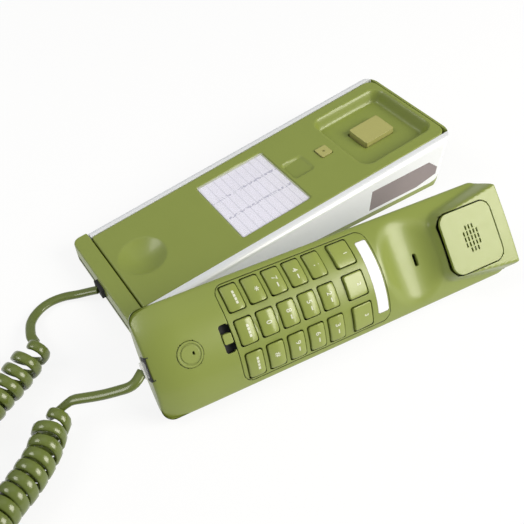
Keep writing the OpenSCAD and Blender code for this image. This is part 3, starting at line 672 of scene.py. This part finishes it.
def cord_line():
    """Ring centres of the whole cord, the broad direction at each, in millimetres."""
    sizes = bpy.context.scene.telephone_sizes
    radius = sizes.coil_radius * 1000
    pitch = sizes.coil_pitch * 1000
    axis, run = smooth_line([(x, y, radius + 1.6) for x, y in CURL_LINE], 0.25)
    ahead = np.gradient(axis, axis=0)
    ahead /= np.linalg.norm(ahead, axis=1)[:, None]
    side = np.cross(ahead, (0, 0, 1))
    side /= np.linalg.norm(side, axis=1)[:, None]
    s = np.linspace(0, run, len(axis))
    slack = np.exp(-s / 14) * 1.0 + np.exp(-(run - s) / 12) * 0.7
    turns = np.concatenate([[0], np.cumsum(np.diff(s) / (pitch * (1 + 1.1 * slack[1:])))])
    count = int(turns[-1] * sizes.ring_sides)
    at = np.linspace(0, turns[-1], count)
    mid = np.column_stack([np.interp(at, turns, axis[:, k]) for k in range(3)])
    out = np.column_stack([np.interp(at, turns, side[:, k]) for k in range(3)])
    fore = np.column_stack([np.interp(at, turns, ahead[:, k]) for k in range(3)])
    swell = np.minimum(ease(at / 0.8), ease((turns[-1] - at) / 0.8))
    wobble = 1 - 0.03 * (1 + np.sin(at * 1.7)) * np.cos(at * 0.61) ** 2
    angle = 2 * np.pi * at - 1.9
    spin = out * np.cos(angle)[:, None] + np.array([0, 0, 1.0]) * np.sin(angle)[:, None]
    curl = mid + spin * (radius * swell * wobble)[:, None]
    curl += fore * (1.5 * swell * np.sin(angle + 0.6))[:, None]
    first, _ = smooth_line(BASE_TAIL, 1.6)
    last, _ = smooth_line(HANDSET_TAIL, 1.6)
    flat_first = np.cross(np.gradient(first, axis=0), (0, 0, 1))
    flat_last = np.cross(np.gradient(last, axis=0), (0, 0, 1))
    line = np.vstack([first, curl[3:-3], last])
    broad = np.vstack([flat_first, fore[3:-3], flat_last])
    return line, broad


def flat_tube(name, line, broad, width, thick):
    """A flat cord with rounded edges along a line, its broad side along the given way."""
    for _ in range(2):
        line[1:-1] = 0.5 * line[1:-1] + 0.25 * (line[:-2] + line[2:])
    along = np.gradient(line, axis=0)
    along /= np.linalg.norm(along, axis=1)[:, None]
    broad = broad / np.maximum(np.linalg.norm(broad, axis=1), 1e-9)[:, None]
    sign = np.ones(len(broad))
    for i in range(1, len(broad)):
        sign[i] = sign[i - 1] * (1 if np.dot(broad[i], broad[i - 1]) >= 0 else -1)
    broad = broad * sign[:, None]
    for _ in range(6):
        broad[1:-1] = (broad[:-2] + broad[1:-1] + broad[2:]) / 3
    broad -= along * np.sum(broad * along, axis=1)[:, None]
    broad /= np.maximum(np.linalg.norm(broad, axis=1), 1e-9)[:, None]
    up = np.cross(along, broad)
    turn = np.linspace(0, 2 * np.pi, 12, endpoint=False)
    c = np.sign(np.cos(turn)) * np.abs(np.cos(turn)) ** 0.62 * width / 2
    s = np.sign(np.sin(turn)) * np.abs(np.sin(turn)) ** 0.8 * thick / 2
    rings = line[:, None] + broad[:, None] * c[None, :, None] + up[:, None] * s[None, :, None]
    n = len(turn)
    faces = []
    for i in range(len(line) - 1):
        for j in range(n):
            k = (j + 1) % n
            faces.append((i * n + j, i * n + k, (i + 1) * n + k, (i + 1) * n + j))
    faces.append(tuple(range(n))[::-1])
    faces.append(tuple((len(line) - 1) * n + j for j in range(n)))
    mesh = bpy.data.meshes.new(name)
    mesh.from_pydata([tuple(p) for p in rings.reshape(-1, 3)], [], faces)
    return mesh


# ---- operators ----------------------------------------------------------------------


class TELEPHONE_OT_camera(bpy.types.Operator):
    """Place the camera over the near corner of the phone"""

    bl_idname = "telephone.camera"
    bl_label = "Camera"

    def execute(self, context):
        turn = math.radians(-35.32)
        lift = math.radians(48.10)
        target = Vector((-0.0318, -0.0356, 0.0065))
        way = Vector(
            (math.sin(turn) * math.cos(lift), -math.cos(turn) * math.cos(lift), math.sin(lift))
        )
        lens = bpy.data.cameras.new("camera")
        lens.lens = 43.52
        lens.sensor_width = 36
        lens.clip_start = 0.01
        holder = bpy.data.objects.new("camera", lens)
        holder.location = target + way * 0.3618
        holder.rotation_euler = (-way).to_track_quat("-Z", "Y").to_euler()
        context.scene.collection.objects.link(holder)
        context.scene.camera = holder
        return {"FINISHED"}


class TELEPHONE_OT_cord(bpy.types.Operator):
    """Make the flat curly cord from the base to the handset"""

    bl_idname = "telephone.cord"
    bl_label = "Curly cord"

    def execute(self, context):
        sizes = context.scene.telephone_sizes
        line, broad = cord_line()
        mesh = flat_tube(
            "curly_cord", line, broad, sizes.cord_width * 1000, sizes.cord_thick * 1000
        )
        settle(mesh, Matrix.Scale(MM, 4), 60)
        cord = add_piece("curly_cord", mesh, "vinyl_cord")
        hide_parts("cord_tail_base", "cord_coil", "cord_tail_handset")
        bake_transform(cord)
        path = line * MM
        length = float(np.sum(np.linalg.norm(np.diff(path, axis=0), axis=1)))
        print("cord length", round(length, 4))
        return {"FINISHED"}


class TELEPHONE_OT_handset(bpy.types.Operator):
    """Mould the handset's face and back, and finish the parts set in them"""

    bl_idname = "telephone.handset"
    bl_label = "Handset"

    def execute(self, context):
        sizes = context.scene.telephone_sizes
        place = handset_frame()
        sides = (*HANDSET_ENDS, -HANDSET_HALF, HANDSET_HALF)
        mesh = moulded_skin(
            "handset_face", sides, 6, sizes.shell_edge, 0.62, face_height, -11.2,
            face_windows(), cap=False,
        )
        face = add_piece("handset_face", settle(mesh, place), "olive_shell")
        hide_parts("handset_face_shell")
        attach(face, "handset")
        over = place @ Matrix.Rotation(math.pi, 4, "X")
        sides = (*HANDSET_ENDS, 0.5 - HANDSET_HALF, HANDSET_HALF - 0.5)
        mesh = moulded_skin("handset_back", sides, 6, 1.0, 2.4, back_height, 10.3, cap=False)
        back = add_piece("handset_back", settle(mesh, over), "olive_shell")
        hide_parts("handset_back_shell")
        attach(back, "handset")
        end = HANDSET_ENDS[0]
        stand = Matrix(((0, 0, -1, end), (-1, 0, 0, 0), (0, 1, 0, JACK_Z), (0, 0, 0, 1)))
        mesh = moulded_skin(
            "jack_mouth", (-6, 6, -5, 5), 1.2, 0.25, 1.0, lambda x, y: 0.3 + 0 * x, -0.3,
            (lambda x, y: box_distance(x, y, (0, 0.6), (4.1, 3.9), 0.5),), lip=0.5,
        )
        mouth = add_piece("jack_mouth", settle(mesh, place @ stand), "black_plastic")
        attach(mouth, "handset")
        dress("olive_shell", "keypad_faceplate", "earpiece_plate", "microphone_cap")
        dress("olive_keys", "volume_knob")
        dress("white_label", "name_strip")
        dress("black_plastic", "volume_switch_body", "handset_jack", "receiver_capsule",
              "microphone_capsule")
        dress("rubber_feet", "receiver_gasket", "keypad_mat")
        dress("circuit_board", "keypad_circuit_board")
        dress("weight_steel", "handset_weight")
        dress("spring_steel", "handset_screws")
        dress("clear_plug", "handset_plug")
        return {"FINISHED"}


class TELEPHONE_OT_keys(bpy.types.Operator):
    """Mould the eighteen keys and print their figures"""

    bl_idname = "telephone.keys"
    bl_label = "Keys"

    def execute(self, context):
        place = handset_frame()
        for node in KEY_PLACES:
            kx, ky, half_x, half_y = key_middle(node)
            height = key_height(node)
            sides = (kx - half_x + 0.3, kx + half_x - 0.2, ky - half_y + 0.3, ky + half_y - 0.2)
            foot = float(crown(abs(ky) + half_y)) - 1.6
            mesh = moulded_skin(node + "_cap", sides, 1.3, 0.5, 0.7, height, foot)
            cap = add_piece(node + "_cap", settle(mesh, place, 55), "olive_keys")
            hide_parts(node)
            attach(cap, node)
            mesh = legend_mesh(node, height)
            mesh.transform(place)
            legend = add_piece(node + "_legend", mesh, "white_legend")
            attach(legend, node)
        return {"FINISHED"}


class TELEPHONE_OT_base(bpy.types.Operator):
    """Finish the base: shells, trims, lens, card, hookswitch and fittings"""

    bl_idname = "telephone.base"
    bl_label = "Base"

    def execute(self, context):
        mesh = moulded_skin(
            "deck", (-104.6, 109.4, -DECK_HALF_EAR, DECK_HALF_EAR), (1.2, 7), 0.9, 0.75, base_height, 4.6,
            base_windows(), lip=2.2, cap=False, taper=deck_taper,
        )
        deck = add_piece("deck", settle(mesh, Matrix.Scale(MM, 4)), "olive_shell")
        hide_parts("base_top_shell")
        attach(deck, "base")
        mesh = moulded_skin(
            "chin_lip", (MIC_END, -105.4, -36.5, 36.5), (4.5, 1.2), 0.9, 0.8,
            lambda x, y: deck_height(x), 2.7,
        )
        lip = add_piece("chin_lip", settle(mesh, Matrix.Scale(MM, 4)), "olive_shell")
        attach(lip, "base")
        dress("olive_shell", "base_bottom_shell", "ringer_switch_knob")
        dress("olive_pale", "handset_hanger", "hookswitch_plunger")
        dress("silver_trim", "side_trim_near", "side_trim_far")
        dress("smoky_lens", "ring_lamp_lens")
        dress("lamp_red", "ring_lamp_led")
        dress("circuit_board", "base_circuit_board")
        dress("black_plastic", "hook_switch_module", "ringer_sounder", "ringer_switch_body",
              "line_jack", "cord_bushing")
        spring_piece()
        dress("spring_steel", "base_screws")
        dress("weight_steel", "ballast_plate")
        dress("rubber_feet", "rubber_feet")
        dress("index_paper", "index_card")
        dress("clear_cover", "card_cover")
        return {"FINISHED"}


def softbox(name, way, distance, size, power, tint=(1, 1, 1)):
    """A square studio light aimed at the phone."""
    light = bpy.data.lights.new(name, "AREA")
    light.shape = "SQUARE"
    light.size = size
    light.energy = power
    light.color = tint
    holder = bpy.data.objects.new(name, light)
    way = Vector(way).normalized()
    holder.location = Vector((-0.03, -0.03, 0)) + way * distance
    holder.rotation_euler = (-way).to_track_quat("-Z", "Y").to_euler()
    bpy.context.scene.collection.objects.link(holder)


def floor_paint():
    """Pale paint that looks nearly white and still keeps the phone's soft shadow."""
    finish, tree, shader = new_finish("floor_paint")
    shader.inputs["Base Color"].default_value = (0.86, 0.86, 0.86, 1)
    shader.inputs["Roughness"].default_value = 0.8
    glow = tree.nodes.new("ShaderNodeEmission")
    glow.inputs["Strength"].default_value = 1.0
    path = tree.nodes.new("ShaderNodeLightPath")
    seen = tree.nodes.new("ShaderNodeMath")
    seen.operation = "MAXIMUM"
    tree.links.new(path.outputs["Is Camera Ray"], seen.inputs[0])
    tree.links.new(path.outputs["Is Glossy Ray"], seen.inputs[1])
    also = tree.nodes.new("ShaderNodeMath")
    also.operation = "MAXIMUM"
    tree.links.new(seen.outputs[0], also.inputs[0])
    tree.links.new(path.outputs["Is Transmission Ray"], also.inputs[1])
    share = tree.nodes.new("ShaderNodeMath")
    share.operation = "MULTIPLY"
    share.inputs[1].default_value = 0.86
    tree.links.new(also.outputs[0], share.inputs[0])
    mix = tree.nodes.new("ShaderNodeMixShader")
    tree.links.new(share.outputs[0], mix.inputs[0])
    tree.links.new(shader.outputs[0], mix.inputs[1])
    tree.links.new(glow.outputs[0], mix.inputs[2])
    tree.links.new(mix.outputs[0], tree.nodes["Material Output"].inputs["Surface"])
    return finish


def studio_world():
    """Even studio light, with a plain white backdrop past the floor."""
    world = bpy.data.worlds.new("studio")
    world.use_nodes = True
    sky = world.node_tree.nodes["Background"]
    sky.inputs["Strength"].default_value = 0.36
    sky.inputs["Color"].default_value = (0.95, 0.97, 1.0, 1)
    backdrop = world.node_tree.nodes.new("ShaderNodeBackground")
    backdrop.inputs["Color"].default_value = (1, 1, 1, 1)
    ray = world.node_tree.nodes.new("ShaderNodeLightPath")
    either = world.node_tree.nodes.new("ShaderNodeMixShader")
    world.node_tree.links.new(ray.outputs["Is Camera Ray"], either.inputs[0])
    world.node_tree.links.new(sky.outputs[0], either.inputs[1])
    world.node_tree.links.new(backdrop.outputs[0], either.inputs[2])
    out = world.node_tree.nodes["World Output"]
    world.node_tree.links.new(either.outputs[0], out.inputs["Surface"])
    return world


class TELEPHONE_OT_stage(bpy.types.Operator):
    """Lay a plain pale floor and set soft studio lights"""

    bl_idname = "telephone.stage"
    bl_label = "Stage"

    def execute(self, context):
        body = bmesh.new()
        corners = [(-4, -4, 0), (4, -4, 0), (4, 4, 0), (-4, 4, 0)]
        body.faces.new([body.verts.new(c) for c in corners])
        mesh = bpy.data.meshes.new("floor")
        body.to_mesh(mesh)
        body.free()
        floor = bpy.data.objects.new("floor", mesh)
        context.scene.collection.objects.link(floor)
        mesh.materials.append(floor_paint())
        context.scene.world = studio_world()
        softbox("key_softbox", (0.55, -0.62, 0.56), 1.2, 0.72, 15.5, (1, 0.96, 0.85))
        softbox("left_softbox", (-0.60, 0.36, 0.72), 1.2, 0.5, 4.6, (1, 0.98, 0.93))
        softbox("top_softbox", (0.05, 0.25, 1), 1.3, 0.9, 1.0)
        context.scene.view_settings.view_transform = "Standard"
        return {"FINISHED"}


class TELEPHONE_PT_panel(bpy.types.Panel):
    """The telephone's pieces, sizes and colours"""

    bl_idname = "TELEPHONE_PT_panel"
    bl_label = "Slimline wall telephone"
    bl_space_type = "VIEW_3D"
    bl_region_type = "UI"
    bl_category = "Telephone"

    def draw(self, context):
        column = self.layout.column()
        for step in STEPS:
            column.operator(step.bl_idname)
        for group in (context.scene.telephone_sizes, context.scene.telephone_colours):
            for key in group.__annotations__:
                column.prop(group, key)


STEPS = (
    TELEPHONE_OT_camera, TELEPHONE_OT_cord, TELEPHONE_OT_handset, TELEPHONE_OT_keys,
    TELEPHONE_OT_base, TELEPHONE_OT_stage,
)
CLASSES = (TelephoneSizes, TelephoneColours, *STEPS, TELEPHONE_PT_panel)


def register():
    for kind in CLASSES:
        bpy.utils.register_class(kind)
    bpy.types.Scene.telephone_sizes = PointerProperty(type=TelephoneSizes)
    bpy.types.Scene.telephone_colours = PointerProperty(type=TelephoneColours)


def unregister():
    del bpy.types.Scene.telephone_colours
    del bpy.types.Scene.telephone_sizes
    for kind in reversed(CLASSES):
        bpy.utils.unregister_class(kind)


def main():
    """Register, and make every piece in order."""
    register()
    bpy.ops.telephone.camera()
    bpy.ops.telephone.cord()
    bpy.ops.telephone.handset()
    bpy.ops.telephone.keys()
    bpy.ops.telephone.base()
    bpy.ops.telephone.stage()


if __name__ == "__main__":
    main()
